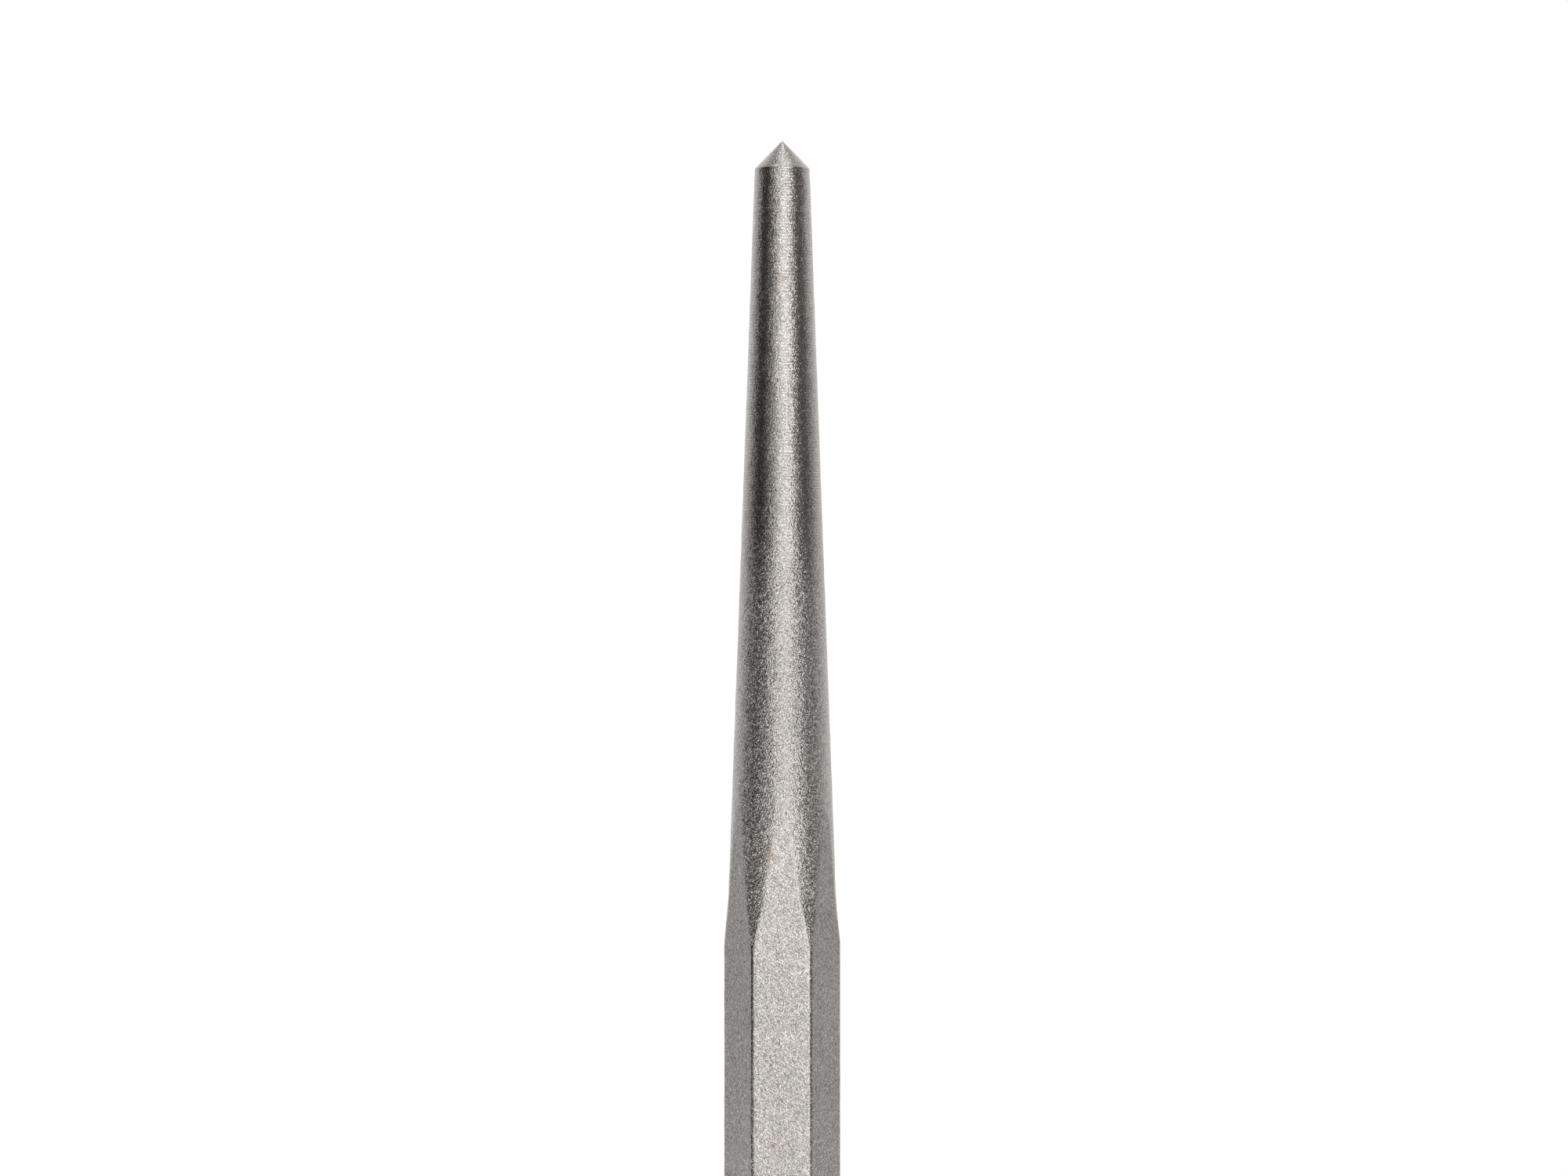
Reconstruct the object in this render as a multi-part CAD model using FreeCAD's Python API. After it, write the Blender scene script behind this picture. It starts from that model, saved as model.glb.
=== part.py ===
"""Center punch: a one-piece hand punch for marking hole centres in metal.

One length of hexagonal tool steel is turned down at one end to a long round taper that ends in
a conical point. The taper meets the hexagon in a short, steeper shoulder, which leaves a rounded
tongue at the end of each flat. The other end is faced off square and bevelled all round, so that
hammer blows land in its middle and the rim doesn't mushroom.

Frame: millimetres, +Z up along the bar. The origin is the centre of the struck face, and the
point is at the top. Two of the six flats face +Y and -Y, so two corners lie on +X and -X.
"""
import FreeCAD, Part
import math
import os

# The bar.
OVERALL_LENGTH = 152.4  # struck face to point, 6 in
ACROSS_FLATS = 9.525  # 3/8 in hexagon
FLATS = 6
CORNER_RADIUS = 0.45  # rolled corners

# The nose, from the point down to where its shoulder runs out at the bar's corners.
NOSE_LENGTH = 75.0
NOSE_END_DIAMETER = 5.16  # small end of the taper, where the cone begins
SHOULDER_LENGTH = 4.0
SHOULDER_ANGLE = 5.3  # slope to the axis, in degrees
SHOULDER_BLEND_RADIUS = 40.0  # hollow blend between taper and shoulder

# The point.
POINT_ANGLE = 88.0  # included angle of the cone, in degrees
TIP_RADIUS = 0.06
RIDGE_RADIUS = 0.08  # edge between cone and taper

# The struck end.
STRUCK_FACE_DIAMETER = 6.6  # the flat middle of the face
STRUCK_EDGE_RADIUS = 0.5  # between face and bevel
BEVEL_ANGLE = 30.0  # slope to the axis, in degrees

# The turned envelope stands this far off the bar's corners where the bar stays hexagonal.
TURNING_CLEARANCE = 1.0


def rounded_path(corners):
    """Edges of an open path in the XZ plane through (x, z, radius) corners, each rounded by a tangent arc."""
    points = [FreeCAD.Vector(x, 0, z) for x, z, radius in corners]
    edges = []
    reached = points[0]
    for before, corner, after, (x, z, radius) in zip(points, points[1:], points[2:], corners[1:]):
        if radius:
            back = (before - corner).normalize()
            ahead = (after - corner).normalize()
            half_angle = back.getAngle(ahead) / 2
            tangent_length = radius / math.tan(half_angle)
            start = corner + back * tangent_length
            end = corner + ahead * tangent_length
            bisector = (back + ahead).normalize()
            middle = corner + bisector * (radius / math.sin(half_angle) - radius)
            edges.append(Part.LineSegment(reached, start).toShape())
            edges.append(Part.Arc(start, middle, end).toShape())
            reached = end
        else:
            edges.append(Part.LineSegment(reached, corner).toShape())
            reached = corner
    edges.append(Part.LineSegment(reached, points[-1]).toShape())
    return edges


def sharp_corner_radius():
    """Distance from the axis to a corner of the hexagon before it is rounded."""
    return ACROSS_FLATS / 2 / math.cos(math.pi / FLATS)


def bar_corner_radius():
    """Distance from the axis to the crown of a rounded corner."""
    return sharp_corner_radius() - CORNER_RADIUS * (1 / math.cos(math.pi / FLATS) - 1)


def hexagonal_bar():
    """The rolled bar as cut to length, with its long corners rounded."""
    radius = sharp_corner_radius()
    angles = [2 * math.pi * number / FLATS for number in range(FLATS + 1)]
    corners = [FreeCAD.Vector(radius * math.cos(angle), radius * math.sin(angle), 0) for angle in angles]
    prism = Part.Face(Part.makePolygon(corners)).extrude(FreeCAD.Vector(0, 0, OVERALL_LENGTH))
    long_edges = [edge for edge in prism.Edges if edge.BoundBox.ZLength > OVERALL_LENGTH / 2]
    return prism.makeFillet(CORNER_RADIUS, long_edges)


def turned_envelope():
    """What the lathe and the grinder leave: a solid of revolution from struck face to point."""
    clear_radius = bar_corner_radius() + TURNING_CLEARANCE

    # The bevel and the face are drawn to their sharp corner, which the edge radius then takes off.
    bevel = math.radians(BEVEL_ANGLE)
    face_corner = STRUCK_FACE_DIAMETER / 2 + STRUCK_EDGE_RADIUS * math.tan((math.pi / 2 - bevel) / 2)
    bevel_top = (clear_radius - face_corner) / math.tan(bevel)

    shoulder_slope = math.tan(math.radians(SHOULDER_ANGLE))
    shoulder_foot = OVERALL_LENGTH - NOSE_LENGTH
    shoulder_top = shoulder_foot + SHOULDER_LENGTH
    shoulder_top_radius = bar_corner_radius() - SHOULDER_LENGTH * shoulder_slope
    shoulder_start = shoulder_foot - TURNING_CLEARANCE / shoulder_slope

    # The tip is a small ball that the cone meets smoothly, and the ball's crown is the overall length.
    half_point = math.radians(POINT_ANGLE / 2)
    ball_centre = OVERALL_LENGTH - TIP_RADIUS
    sharp_tip = ball_centre + TIP_RADIUS / math.sin(half_point)
    ridge = sharp_tip - NOSE_END_DIAMETER / 2 / math.tan(half_point)

    def on_ball(angle):
        return FreeCAD.Vector(TIP_RADIUS * math.cos(angle), 0, ball_centre + TIP_RADIUS * math.sin(angle))

    cone_end = on_ball(half_point)
    crown = on_ball(math.pi / 2)
    profile = rounded_path([
        (0, 0, 0),
        (face_corner, 0, STRUCK_EDGE_RADIUS),
        (clear_radius, bevel_top, 0),
        (clear_radius, shoulder_start, 0),
        (shoulder_top_radius, shoulder_top, SHOULDER_BLEND_RADIUS),
        (NOSE_END_DIAMETER / 2, ridge, RIDGE_RADIUS),
        (cone_end.x, cone_end.z, 0),
    ])
    profile.append(Part.Arc(cone_end, on_ball((half_point + math.pi / 2) / 2), crown).toShape())
    profile.append(Part.LineSegment(crown, FreeCAD.Vector(0, 0, 0)).toShape())
    section = Part.Face(Part.Wire(profile))
    return section.revolve(FreeCAD.Vector(0, 0, 0), FreeCAD.Vector(0, 0, 1), 360)


def center_punch():
    """The finished punch: the bar, as far as the turned envelope leaves it."""
    return hexagonal_bar().common(turned_envelope())


os.makedirs("parts", exist_ok=True)
center_punch().exportStep("parts/center_punch.step")
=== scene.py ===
"""Center punch: its looks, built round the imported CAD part.

Metres, +Z up along the bar. The origin is the centre of the struck face and the point is at the top.
"""
import math

import bpy
import numpy as np
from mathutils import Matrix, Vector


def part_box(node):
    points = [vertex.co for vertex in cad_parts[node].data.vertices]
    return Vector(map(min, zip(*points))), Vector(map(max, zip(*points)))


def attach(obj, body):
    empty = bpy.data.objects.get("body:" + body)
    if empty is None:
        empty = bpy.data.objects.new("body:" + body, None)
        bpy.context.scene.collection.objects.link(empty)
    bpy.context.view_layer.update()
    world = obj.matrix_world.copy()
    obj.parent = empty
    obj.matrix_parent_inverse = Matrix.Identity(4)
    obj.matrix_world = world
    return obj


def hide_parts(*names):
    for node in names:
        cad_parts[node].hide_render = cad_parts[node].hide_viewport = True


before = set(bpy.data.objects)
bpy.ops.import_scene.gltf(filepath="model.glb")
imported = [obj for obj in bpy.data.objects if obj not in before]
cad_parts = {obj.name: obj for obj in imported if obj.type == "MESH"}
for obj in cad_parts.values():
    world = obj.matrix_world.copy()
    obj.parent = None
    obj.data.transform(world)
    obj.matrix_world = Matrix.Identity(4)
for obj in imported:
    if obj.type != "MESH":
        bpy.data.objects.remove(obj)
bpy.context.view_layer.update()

# ---- The punch ----------------------------------------------------------------------------------
# One length of 3/8 in hexagonal tool steel. The nose is turned to a long taper and its point ground
# to a cone, the struck end is faced and bevelled, and the hardened punch is then shot-blasted all
# over, which leaves a fine satin grain and takes the sharpness off every edge.

MM = 0.001  # one millimetre, in metres

highest_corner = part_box("center_punch")[1]
overall_length = highest_corner.z
half_flats = highest_corner.y  # axis to a flat
corner_crown = highest_corner.x  # axis to the crown of a rolled corner
flats = 6
half_sector = math.pi / flats  # from the middle of a flat to a corner
sharp_corner = half_flats / math.cos(half_sector)
corner_radius = (sharp_corner - corner_crown) / (1 / math.cos(half_sector) - 1)

nose_length = 75.0 * MM
nose_end_radius = 2.58 * MM
shoulder_length = 4.0 * MM
shoulder_angle = math.radians(5.3)
shoulder_blend = 40.0 * MM
half_point = math.radians(44.0)
tip_radius = 0.06 * MM
ridge_radius = 0.08 * MM
struck_face_radius = 3.3 * MM
struck_edge_radius = 0.5 * MM
bevel_angle = math.radians(30.0)
turning_clearance = 1.0 * MM
blasted_edge = 0.04 * MM  # depth over which blasting melts one surface into the next


def rounded_profile(corners, spacing, arc_steps):
    """Points (r, z) along a polyline whose corners are rounded.

    Each corner (r, z, radius) gets the arc of that radius that touches both of its straight sides,
    cut into arc_steps equal turns. Each straight stretch is cut into equal steps no longer than
    spacing.
    """
    points = np.array([corner[:2] for corner in corners])
    radii = [corner[2] for corner in corners]
    reached = points[0]
    pieces = [points[:1]]
    for before, corner, after, radius in zip(points, points[1:], points[2:], radii[1:]):
        back = (before - corner) / np.linalg.norm(before - corner)
        ahead = (after - corner) / np.linalg.norm(after - corner)
        half_angle = math.acos(back @ ahead) / 2
        start = corner + back * radius / math.tan(half_angle)
        centre = corner + (back + ahead) / np.linalg.norm(back + ahead) * radius / math.sin(half_angle)
        steps = math.ceil(np.linalg.norm(start - reached) / spacing)
        share = np.linspace(0, 1, steps + 1)[1:, None]
        pieces.append(reached + share * (start - reached))
        reached = start
        if radius:
            # The spoke from the centre to the start turns the way that the path is going, -back.
            spoke = start - centre
            angle = np.linspace(0, math.pi - 2 * half_angle, arc_steps + 1)[1:, None]
            pieces.append(centre + spoke * np.cos(angle) - back * radius * np.sin(angle))
            reached = pieces[-1][-1]
    steps = math.ceil(np.linalg.norm(points[-1] - reached) / spacing)
    pieces.append(reached + np.linspace(0, 1, steps + 1)[1:, None] * (points[-1] - reached))
    return np.concatenate(pieces)


def turned_profile():
    """Radius and height along the turned outline, from the middle of the struck face to the tip."""
    clear = corner_crown + turning_clearance
    face_corner = struck_face_radius + struck_edge_radius * math.tan((math.pi / 2 - bevel_angle) / 2)
    bevel_top = (clear - face_corner) / math.tan(bevel_angle)
    shoulder_slope = math.tan(shoulder_angle)
    shoulder_foot = overall_length - nose_length
    shoulder_top_radius = corner_crown - shoulder_length * shoulder_slope
    ball_centre = overall_length - tip_radius
    ridge = ball_centre + tip_radius / math.sin(half_point) - nose_end_radius / math.tan(half_point)
    outline = rounded_profile(
        [
            (0, 0, 0),
            (face_corner, 0, struck_edge_radius),
            (clear, bevel_top, 0),
            (clear, shoulder_foot - turning_clearance / shoulder_slope, 0),
            (shoulder_top_radius, shoulder_foot + shoulder_length, shoulder_blend),
            (nose_end_radius, ridge, ridge_radius),
            (tip_radius * math.cos(half_point), ball_centre + tip_radius * math.sin(half_point), 0),
        ],
        spacing=0.335 * MM,
        arc_steps=5,
    )
    ball_steps = 4
    ball_angle = np.linspace(half_point, math.pi / 2, ball_steps + 1)[1:-1]
    ball = np.stack([np.cos(ball_angle), np.sin(ball_angle)], axis=1) * tip_radius + [0, ball_centre]
    return np.concatenate([outline, ball])


def hexagon_radius(angle):
    """Distance from the axis to the rolled bar, at an angle of up to 30 degrees from a flat's middle.

    The flat is half_flats / cos(angle). Past its end comes the corner's arc: a circle of
    corner_radius about a centre on the corner's ray, met from the axis.
    """
    centre = sharp_corner - corner_radius / math.cos(half_sector)
    to_corner = half_sector - angle
    arc = centre * np.cos(to_corner) + np.sqrt(
        np.maximum(corner_radius**2 - (centre * np.sin(to_corner)) ** 2, 0)
    )
    return np.where(angle < flat_end, half_flats / np.cos(angle), arc)


flat_end = math.atan((half_flats - corner_radius) * math.tan(half_sector) / half_flats)
profile = turned_profile()
columns_on_flat = 8  # each side of a flat's middle
columns_past_flat = 8

# Each row's columns crowd towards the line where the turned surface cuts the flats, at the angle
# whose cosine is half_flats / turned radius, so that the edge of every tongue is an edge of the mesh.
# Above the tongues the line opens out, until the columns are evenly spaced.
narrowest_crease = math.radians(6)
even_crease = math.radians(15)
opening_depth = 0.35 * MM
turned = profile[:, :1]
crease = np.minimum(np.arccos(np.minimum(1, half_flats / np.maximum(turned, half_flats))), flat_end)
spread = np.clip((half_flats - turned) / opening_depth, 0, 1)
crease = np.maximum(crease, narrowest_crease + (even_crease - narrowest_crease) * spread)
inner = np.linspace(0, 1, columns_on_flat + 1)
outer = np.linspace(0, 1, columns_past_flat + 1)[1:]
half = np.concatenate([crease * inner, crease + (half_sector - crease) * outer], axis=1)
sector = np.concatenate([half, 2 * half_sector - half[:, -2:0:-1]], axis=1)
from_flat = np.minimum(sector, 2 * half_sector - sector)
turn = np.concatenate([sector + number * 2 * half_sector for number in range(flats)], axis=1)
from_flat = np.tile(from_flat, flats)

# The surface is the nearer of bar and turning, joined by a smooth minimum blasted_edge deep.
bar = hexagon_radius(from_flat)
share = np.clip(0.5 + 0.5 * (bar - turned) / blasted_edge, 0, 1)
radius = bar * (1 - share) + turned * share - blasted_edge * share * (1 - share)

# Angle 0 of turn is the middle of the flat that faces -Y.
x = radius * np.sin(turn)
y = -radius * np.cos(turn)
z = np.broadcast_to(profile[:, 1:], x.shape)
grid = np.stack([x, y, z], axis=2)[1:]
rows, columns = grid.shape[:2]
verts = np.concatenate([grid.reshape(-1, 3), [[0, 0, 0], [0, 0, overall_length]]])
foot_pole, tip_pole = rows * columns, rows * columns + 1
index = np.arange(rows * columns).reshape(rows, columns)
beside = np.roll(index, -1, axis=1)
quads = np.stack([index[:-1], beside[:-1], beside[1:], index[1:]], axis=2).reshape(-1, 4)
foot_fan = np.stack([np.full(columns, foot_pole), beside[0], index[0]], axis=1)
tip_fan = np.stack([np.full(columns, tip_pole), index[-1], beside[-1]], axis=1)

mesh = bpy.data.meshes.new("punch")
mesh.from_pydata(verts.tolist(), [], quads.tolist() + foot_fan.tolist() + tip_fan.tolist())
mesh.update()

# 1 on the rolled skin of the bar, 0 where the lathe or the grinder has been.
rolled = mesh.attributes.new("rolled", "FLOAT", "POINT")
rolled.data.foreach_set("value", np.append(1 - share[1:].ravel(), [0, 0]).astype(np.float32))


def peening(points, waves=72):
    """Uneven depth from 0 to 1.

    It is the sum of many cosine waves of 0.9 to 4 mm that run every way, over sqrt(waves / 2), which
    is that sum's standard deviation. Then 2.5 deviations each way fill the range.
    """
    draw = np.random.default_rng(7)
    ways = draw.normal(size=(3, waves))
    ways /= np.linalg.norm(ways, axis=0)
    lengths = draw.uniform(0.9 * MM, 4.0 * MM, waves)
    phases = draw.uniform(0, 2 * math.pi, waves)
    height = np.cos(points @ (ways * 2 * math.pi / lengths) + phases).sum(axis=1) / math.sqrt(waves / 2)
    return np.clip(0.5 + height / 5, 0, 1)


# The shot has beaten the surface uneven: each point sinks along its normal by up to peening_depth.
peening_depth = 0.03 * MM
normals = np.empty(len(verts) * 3, np.float32)
mesh.vertex_normals.foreach_get("vector", normals)
sunk = verts - peening_depth * peening(verts)[:, None] * normals.reshape(-1, 3)
sunk[:, 2] = np.clip(sunk[:, 2], 0, overall_length)
sunk[[foot_pole, tip_pole]] = verts[[foot_pole, tip_pole]]
mesh.vertices.foreach_set("co", sunk.astype(np.float32).ravel())
mesh.update()
mesh.shade_smooth()
punch = bpy.data.objects.new("punch", mesh)
bpy.context.scene.collection.objects.link(punch)


def linear(hex_colour):
    """An sRGB colour such as B9B4AF as linear RGBA.

    A channel c is ((c + 0.055) / 1.055) ** 2.4 above the dark toe, and c / 12.92 in it.
    """
    channels = np.array([int(hex_colour[i : i + 2], 16) / 255 for i in (0, 2, 4)])
    toe = channels / 12.92
    return (*np.where(channels > 0.04045, ((channels + 0.055) / 1.055) ** 2.4, toe), 1.0)


def add_node(tree, kind, settings=None, links=None):
    """Adds a shader node of that kind to a tree. Settings are values of its inputs or its own
    properties, and links are inputs with the output that each one takes."""
    made = tree.nodes.new("ShaderNode" + kind)
    for name, value in (settings or {}).items():
        if isinstance(name, int) or name in made.inputs:
            made.inputs[name].default_value = value
        else:
            setattr(made, name, value)
    for name, source in (links or {}).items():
        tree.links.new(source, made.inputs[name])
    return made


def blasted_tool_steel():
    """Hardened tool steel, shot-blasted: a bare warm grey metal whose satin skin is a field of fine
    pits and facets. It mirrors the room softly, and sparkles where the edge of a bright thing falls."""
    material = bpy.data.materials.new("blasted_tool_steel")
    material.use_nodes = True
    tree = material.node_tree
    shader = tree.nodes["Principled BSDF"]

    # Object coordinates in millimetres, so that a pattern's scale is 1 / its real size. They are
    # also turned askew, so that no flat of the bar lies along a pattern's own grid.
    place = add_node(tree, "TexCoord")
    in_mm = add_node(
        tree, "VectorMath", {"operation": "SCALE", "Scale": 1 / MM}, {0: place.outputs["Object"]}
    )
    askew = add_node(tree, "Mapping", {"Rotation": (0.5, 0.8, 0.3)}, {"Vector": in_mm.outputs[0]})
    axes = add_node(tree, "SeparateXYZ", {}, {0: in_mm.outputs[0]})
    height = axes.outputs["Z"]

    # Blasting was light on the upper nose: 1 there, falling to 0 over 11 mm of the taper.
    light = add_node(
        tree,
        "MapRange",
        {"interpolation_type": "SMOOTHSTEP", "From Min": 108.0, "From Max": 119.0},
        {"Value": height},
    )
    cone = add_node(tree, "MapRange", {"From Min": 149.65, "From Max": 149.8}, {"Value": height})
    rolled = add_node(tree, "Attribute", {"attribute_name": "rolled"})

    # The relief, in mm. Pits 0.14 mm across lie over dents of 0.5 mm, and crowd together in places
    # a quarter of a millimetre wide. They are deepest on the lower taper.
    pits = add_node(
        tree, "TexNoise", {"Scale": 1 / 0.14, "Detail": 1.0, "Roughness": 0.6}, {"Vector": askew.outputs[0]}
    )
    pit = add_node(tree, "Math", {"operation": "SUBTRACT", 1: 0.5}, {0: pits.outputs["Fac"]})
    crowds = add_node(tree, "TexNoise", {"Scale": 1 / 0.25, "Detail": 0.0}, {"Vector": askew.outputs[0]})
    crowded = add_node(
        tree,
        "MapRange",
        {"From Min": 0.45, "From Max": 0.75, "To Min": 0.85, "To Max": 1.5},
        {"Value": crowds.outputs["Fac"]},
    )
    turned_depth = add_node(
        tree, "MapRange", {"To Min": 0.06, "To Max": 0.036}, {"Value": light.outputs[0]}
    )
    depth = add_node(
        tree,
        "Math",
        {"operation": "MULTIPLY_ADD", 1: -0.03},
        {0: rolled.outputs["Fac"], 2: turned_depth.outputs[0]},
    )
    deepened = add_node(
        tree, "Math", {"operation": "MULTIPLY"}, {0: crowded.outputs[0], 1: depth.outputs[0]}
    )
    pitted = add_node(
        tree, "Math", {"operation": "MULTIPLY"}, {0: pit.outputs[0], 1: deepened.outputs[0]}
    )
    dents = add_node(
        tree, "TexNoise", {"Scale": 1 / 0.5, "Detail": 1.0, "Roughness": 0.5}, {"Vector": askew.outputs[0]}
    )
    skin = add_node(
        tree,
        "Math",
        {"operation": "MULTIPLY_ADD", 1: 0.02},
        {0: dents.outputs["Fac"], 2: pitted.outputs[0]},
    )

    # The lathe's feed marks wind up the nose: sin(2 pi height / feed_pitch + angle). Light blasting
    # has worn them in patches, and heavy blasting has wiped them off below the upper nose.
    feed_pitch = 0.273  # mm
    angle = add_node(tree, "Math", {"operation": "ARCTAN2"}, {0: axes.outputs["Y"], 1: axes.outputs["X"]})
    winding = add_node(
        tree,
        "Math",
        {"operation": "MULTIPLY_ADD", 1: 2 * math.pi / feed_pitch},
        {0: height, 2: angle.outputs[0]},
    )
    feed = add_node(tree, "Math", {"operation": "SINE"}, {0: winding.outputs[0]})
    chatter = add_node(
        tree, "TexNoise", {"noise_dimensions": "1D", "Scale": 1 / 0.8, "Detail": 1.0}, {"W": height}
    )
    patches = add_node(tree, "TexNoise", {"Scale": 1 / 3.0, "Detail": 1.0}, {"Vector": askew.outputs[0]})
    wear = add_node(
        tree, "Math", {"operation": "ADD"}, {0: chatter.outputs["Fac"], 1: patches.outputs["Fac"]}
    )
    unworn = add_node(
        tree,
        "MapRange",
        {"From Min": 0.7, "From Max": 1.3, "To Min": 0.4, "To Max": 1.4},
        {"Value": wear.outputs[0]},
    )
    lathed = add_node(tree, "Math", {"operation": "SUBTRACT"}, {0: light.outputs[0], 1: cone.outputs[0]})
    strength = add_node(
        tree, "Math", {"operation": "MULTIPLY"}, {0: unworn.outputs[0], 1: lathed.outputs[0]}
    )
    thread = add_node(tree, "Math", {"operation": "MULTIPLY"}, {0: feed.outputs[0], 1: strength.outputs[0]})
    relief = add_node(
        tree, "Math", {"operation": "MULTIPLY_ADD", 1: 0.004}, {0: thread.outputs[0], 2: skin.outputs[0]}
    )

    # Every grain of shot has left a facet, 0.1 mm across, and each leans its own way: its normal is
    # the surface's own plus a random vector, which is longest on the lower taper.
    facets = add_node(tree, "TexVoronoi", {"Scale": 1 / 0.1}, {"Vector": askew.outputs[0]})
    any_way = add_node(
        tree, "VectorMath", {"operation": "SUBTRACT", 1: (0.5, 0.5, 0.5)}, {0: facets.outputs["Color"]}
    )
    turned_lean = add_node(tree, "MapRange", {"To Min": 0.38, "To Max": 0.22}, {"Value": light.outputs[0]})
    lean = add_node(
        tree,
        "Math",
        {"operation": "MULTIPLY_ADD", 1: -0.27},
        {0: rolled.outputs["Fac"], 2: turned_lean.outputs[0]},
    )
    leaning = add_node(
        tree, "VectorMath", {"operation": "SCALE"}, {0: any_way.outputs[0], "Scale": lean.outputs[0]}
    )
    surface = add_node(tree, "NewGeometry")
    tilted = add_node(
        tree, "VectorMath", {"operation": "ADD"}, {0: surface.outputs["Normal"], 1: leaning.outputs[0]}
    )
    facing = add_node(tree, "VectorMath", {"operation": "NORMALIZE"}, {0: tilted.outputs[0]})
    bump = add_node(
        tree,
        "Bump",
        {"Strength": 1.0, "Distance": MM},
        {"Height": relief.outputs[0], "Normal": facing.outputs[0]},
    )

    # The colour: dark grey specks of oxide 0.12 mm across between burnished crests.
    grit = add_node(
        tree, "TexNoise", {"Scale": 1 / 0.12, "Detail": 1.0, "Roughness": 0.6}, {"Vector": askew.outputs[0]}
    )
    colour = add_node(tree, "ValToRGB", {}, {"Fac": grit.outputs["Fac"]})
    oxide, crest = colour.color_ramp.elements
    oxide.position = 0.25
    oxide.color = linear("A8A39E")
    crest.position = 0.75
    crest.color = linear("F4EFEB")

    # Its shade, about 1: clouds 6 mm across, painted shade in the grooves of the feed marks and a painted
    # highlight on their crests, wider rings where the tool chattered, blotches where blasting was heavy,
    # a dull belt round the middle of the nose, and a duller skin, speckled with mill scale, where the bar
    # was rolled.
    clouds = add_node(tree, "TexNoise", {"Scale": 1 / 6.0, "Detail": 2.0}, {"Vector": askew.outputs[0]})
    clouded = add_node(
        tree,
        "MapRange",
        {"From Min": 0.2, "From Max": 0.8, "To Min": 0.93, "To Max": 1.07},
        {"Value": clouds.outputs["Fac"]},
    )
    # Painted shade and highlight: the colour is darker in the feed marks' grooves and lighter on their
    # crests.
    clouds_and_groove_shade = add_node(
        tree, "Math", {"operation": "MULTIPLY_ADD", 1: 0.08}, {0: thread.outputs[0], 2: clouded.outputs[0]}
    )
    ring = add_node(
        tree,
        "MapRange",
        {"From Min": 0.2, "From Max": 0.8, "To Min": -0.05, "To Max": 0.05},
        {"Value": chatter.outputs["Fac"]},
    )
    ringed = add_node(
        tree,
        "Math",
        {"operation": "MULTIPLY_ADD"},
        {0: ring.outputs[0], 1: lathed.outputs[0], 2: clouds_and_groove_shade.outputs[0]},
    )
    blotch = add_node(tree, "Math", {"operation": "SUBTRACT", 1: 0.4}, {0: crowds.outputs["Fac"]})
    heavy = add_node(tree, "MapRange", {"To Min": 0.6, "To Max": 0.0}, {"Value": light.outputs[0]})
    blotched = add_node(
        tree,
        "Math",
        {"operation": "MULTIPLY_ADD"},
        {0: blotch.outputs[0], 1: heavy.outputs[0], 2: ringed.outputs[0]},
    )
    belt_height = 121.0  # mm above the struck face
    from_belt = add_node(tree, "Math", {"operation": "SUBTRACT", 1: belt_height}, {0: height})
    off_belt = add_node(tree, "Math", {"operation": "ABSOLUTE"}, {0: from_belt.outputs[0]})
    belt = add_node(
        tree, "MapRange", {"From Max": 13.0, "To Min": -0.12, "To Max": 0.0}, {"Value": off_belt.outputs[0]}
    )
    belted = add_node(tree, "Math", {"operation": "ADD"}, {0: blotched.outputs[0], 1: belt.outputs[0]})
    specks = add_node(tree, "TexNoise", {"Scale": 1 / 0.14, "Detail": 0.0}, {"Vector": askew.outputs[0]})
    mill_scale = add_node(
        tree,
        "MapRange",
        {"From Min": 0.3, "From Max": 0.7, "To Min": -0.43, "To Max": -0.03},
        {"Value": specks.outputs["Fac"]},
    )
    shade = add_node(
        tree,
        "Math",
        {"operation": "MULTIPLY_ADD"},
        {0: rolled.outputs["Fac"], 1: mill_scale.outputs[0], 2: belted.outputs[0]},
    )
    steel = add_node(
        tree, "VectorMath", {"operation": "SCALE"}, {0: colour.outputs["Color"], "Scale": shade.outputs[0]}
    )

    # Handling has left a few faint brown stains, a millimetre or two across.
    spots = add_node(
        tree, "TexNoise", {"Scale": 1 / 2.2, "Detail": 2.0, "Roughness": 0.6}, {"Vector": askew.outputs[0]}
    )
    stain = add_node(
        tree,
        "MapRange",
        {"From Min": 0.66, "From Max": 0.78, "To Max": 0.5},
        {"Value": spots.outputs["Fac"]},
    )
    stained = add_node(
        tree,
        "Mix",
        {"data_type": "RGBA", "blend_type": "MULTIPLY", 7: linear("CCB29C")},
        {0: stain.outputs[0], 6: steel.outputs[0]},
    )

    # What is too fine to draw, inside the pits, is the shader's own roughness.
    roughness = add_node(tree, "MapRange", {"To Min": 0.18, "To Max": 0.12}, {"Value": light.outputs[0]})
    shader.inputs["Metallic"].default_value = 1.0
    tree.links.new(stained.outputs[2], shader.inputs["Base Color"])
    tree.links.new(roughness.outputs[0], shader.inputs["Roughness"])
    tree.links.new(bump.outputs["Normal"], shader.inputs["Normal"])
    return material


punch.data.materials.append(blasted_tool_steel())
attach(punch, "root")
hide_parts("center_punch")

# ---- The table ----------------------------------------------------------------------------------
# A product table's sheet of white acrylic, lit from below, on which the punch stands. The satin
# sheet holds a soft shadow, and it fades out into the white room before its own rim can show.

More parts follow.
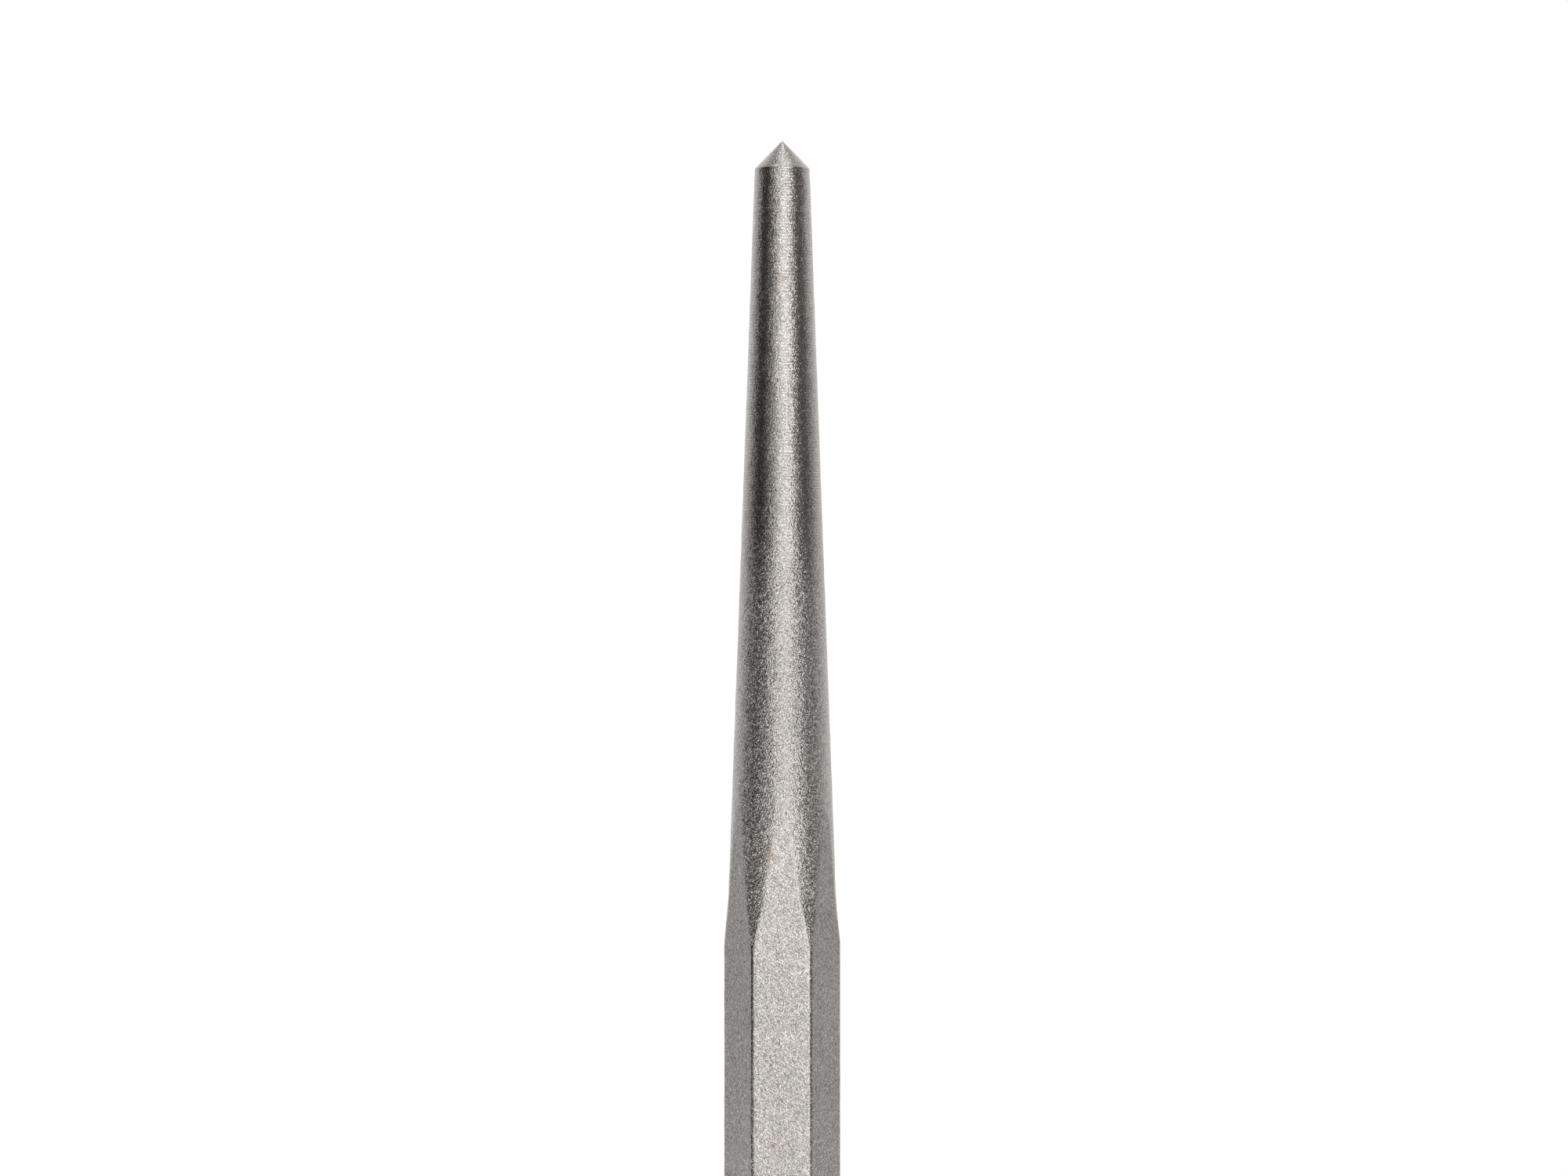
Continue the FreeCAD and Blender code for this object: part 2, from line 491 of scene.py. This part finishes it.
sheet_rings = np.array([0.02, 0.12, 0.2, 0.28, 0.36, 0.39])  # the last is the sheet's edge, in metres
spokes = np.linspace(0, 2 * math.pi, 96, endpoint=False)
level = np.zeros((len(sheet_rings), len(spokes)))
across = sheet_rings[:, None] * np.cos(spokes)
away = sheet_rings[:, None] * np.sin(spokes)
sheet_index = np.arange(level.size).reshape(level.shape)
sheet_beside = np.roll(sheet_index, -1, axis=1)
sheet_faces = np.stack([sheet_index[:-1], sheet_index[1:], sheet_beside[1:], sheet_beside[:-1]], axis=2)
sheet_mesh = bpy.data.meshes.new("table")
sheet_mesh.from_pydata(
    np.stack([across, away, level], axis=2).reshape(-1, 3).tolist(),
    [],
    sheet_faces.reshape(-1, 4).tolist() + [sheet_index[0].tolist()],
)
sheet_mesh.update()
table = bpy.data.objects.new("table", sheet_mesh)
bpy.context.scene.collection.objects.link(table)


def lit_acrylic():
    """White acrylic lit from below: satin and bright, and clear from 0.14 m out to 0.36 m."""
    material = bpy.data.materials.new("lit_acrylic")
    material.use_nodes = True
    tree = material.node_tree
    shader = tree.nodes["Principled BSDF"]
    place = add_node(tree, "TexCoord")
    radius = add_node(tree, "VectorMath", {"operation": "LENGTH"}, {0: place.outputs["Object"]})
    shown = add_node(
        tree,
        "MapRange",
        {
            "interpolation_type": "SMOOTHSTEP",
            "From Min": 0.14,
            "From Max": 0.36,
            "To Min": 1.0,
            "To Max": 0.0,
        },
        {"Value": radius.outputs["Value"]},
    )
    shader.inputs["Base Color"].default_value = linear("EDEDEB")
    shader.inputs["Roughness"].default_value = 0.7
    shader.inputs["Emission Color"].default_value = linear("FFFFFF")
    shader.inputs["Emission Strength"].default_value = 0.5
    tree.links.new(shown.outputs[0], shader.inputs["Alpha"])
    return material


table.data.materials.append(lit_acrylic())

# ---- The room -----------------------------------------------------------------------------------
# A dark studio. A white sweep stands behind the punch and wraps round both sides of it, the walls
# beside the camera are black, and a softbox hangs next to the camera with another one overhead.

# How bright the room is, by compass bearing: 0 is the camera's side, and + is to its right.
bearings = [
    (-180, 0.80),  # the sweep
    (-140, 0.74),
    (-122, 0.46),  # its left wing
    (-113, 0.49),
    (-98, 0.17),
    (-84, 0.035),  # the black wall
    (-66, 0.03),
    (-50, 0.09),
    (-35, 0.23),  # a pale reflector beside the camera
    (-22, 0.52),
    (-7, 0.97),
    (20, 0.64),
    (44, 0.28),
    (60, 0.10),  # the other black wall
    (75, 0.08),
    (90, 0.15),
    (112, 0.45),  # the sweep's right wing
    (140, 0.69),
    (180, 0.80),
]
world = bpy.data.worlds.new("studio")
bpy.context.scene.world = world
world.use_nodes = True
room = world.node_tree
room.nodes.clear()
way = add_node(room, "TexCoord")
parts = add_node(room, "SeparateXYZ", {}, {0: way.outputs["Generated"]})
towards_camera = add_node(room, "Math", {"operation": "MULTIPLY", 1: -1.0}, {0: parts.outputs["Y"]})
bearing = add_node(
    room, "Math", {"operation": "ARCTAN2"}, {0: parts.outputs["X"], 1: towards_camera.outputs[0]}
)
turns = add_node(
    room, "Math", {"operation": "MULTIPLY_ADD", 1: 0.5 / math.pi, 2: 0.5}, {0: bearing.outputs[0]}
)
walls = add_node(room, "ValToRGB", {}, {"Fac": turns.outputs[0]})
stops = walls.color_ramp.elements
for number, (degrees, brightness) in enumerate(bearings):
    if 0 < number < len(bearings) - 1:
        stop = stops.new(0.5 + degrees / 360)
    else:
        stop = stops[0 if number == 0 else -1]
    # Warm lamps: what little light the black walls send back is the warmest.
    stop.color = (brightness + 0.006, brightness, brightness - 0.004, 1)

# The room dims towards its ceiling and below the table.
ceiling = add_node(
    room,
    "MapRange",
    {"interpolation_type": "SMOOTHSTEP", "From Min": 0.5, "From Max": 0.8, "To Min": 1.0, "To Max": 0.7},
    {"Value": parts.outputs["Z"]},
)
under = add_node(
    room, "MapRange", {"From Min": -0.3, "From Max": 0.0, "To Min": 0.7}, {"Value": parts.outputs["Z"]}
)
dimmed = add_node(room, "Math", {"operation": "MULTIPLY"}, {0: ceiling.outputs[0], 1: under.outputs[0]})
lit = add_node(room, "Background", {}, {"Color": walls.outputs["Color"], "Strength": dimmed.outputs[0]})
white = add_node(room, "Background", {"Color": (1, 1, 1, 1), "Strength": 1.0})
ray = add_node(room, "LightPath")
seen = add_node(
    room, "MixShader", {}, {0: ray.outputs["Is Camera Ray"], 1: lit.outputs[0], 2: white.outputs[0]}
)
add_node(room, "OutputWorld", {}, {"Surface": seen.outputs[0]})


def softbox(name, azimuth, elevation, distance, size, radiance):
    """A rectangular lamp that faces the nose from that bearing and elevation, in degrees.

    Its power is radiance x pi x area, which is what a flat panel of that radiance gives out.
    """
    lamp = bpy.data.lights.new(name, "AREA")
    lamp.shape = "RECTANGLE"
    lamp.size, lamp.size_y = size
    lamp.energy = radiance * math.pi * size[0] * size[1]
    box = bpy.data.objects.new(name, lamp)
    bpy.context.scene.collection.objects.link(box)
    aside, raised = math.radians(azimuth), math.radians(elevation)
    level_way = Vector((math.sin(aside), -math.cos(aside), 0))
    way = level_way * math.cos(raised) + Vector((0, 0, math.sin(raised)))
    nose = Vector((0, 0, overall_length * 0.7))
    box.location = nose + way * distance
    box.rotation_euler = way.to_track_quat("Z", "Y").to_euler()
    box.visible_camera = False


softbox("softbox_beside_camera", azimuth=19, elevation=2, distance=1.2, size=(0.85, 0.6), radiance=0.88)
softbox("softbox_overhead", azimuth=90, elevation=86, distance=0.8, size=(0.45, 0.45), radiance=0.75)

# ---- The camera ---------------------------------------------------------------------------------
# A long lens level with the taper, close enough that the nose and the first of the shank fill the
# picture's height.

camera_azimuth = math.radians(0.8)
camera_distance = 403 * MM
camera_height = 110.57 * MM
camera_aside = 0.17 * MM  # to its right, so that the punch stands a hair left of the middle
picture_width = 146.65 * MM  # at the punch's axis
camera = bpy.data.objects.new("camera", bpy.data.cameras.new("camera"))
bpy.context.scene.collection.objects.link(camera)
camera.data.sensor_width = 36.0
camera.data.lens = camera.data.sensor_width * camera_distance / picture_width
camera.data.clip_start = 0.01
back = Vector((math.sin(camera_azimuth), -math.cos(camera_azimuth), 0))
right = Vector((math.cos(camera_azimuth), math.sin(camera_azimuth), 0))
camera.location = back * camera_distance + right * camera_aside + Vector((0, 0, camera_height))
camera.rotation_euler = back.to_track_quat("Z", "Y").to_euler()
bpy.context.scene.camera = camera
bpy.context.scene.view_settings.view_transform = "Standard"
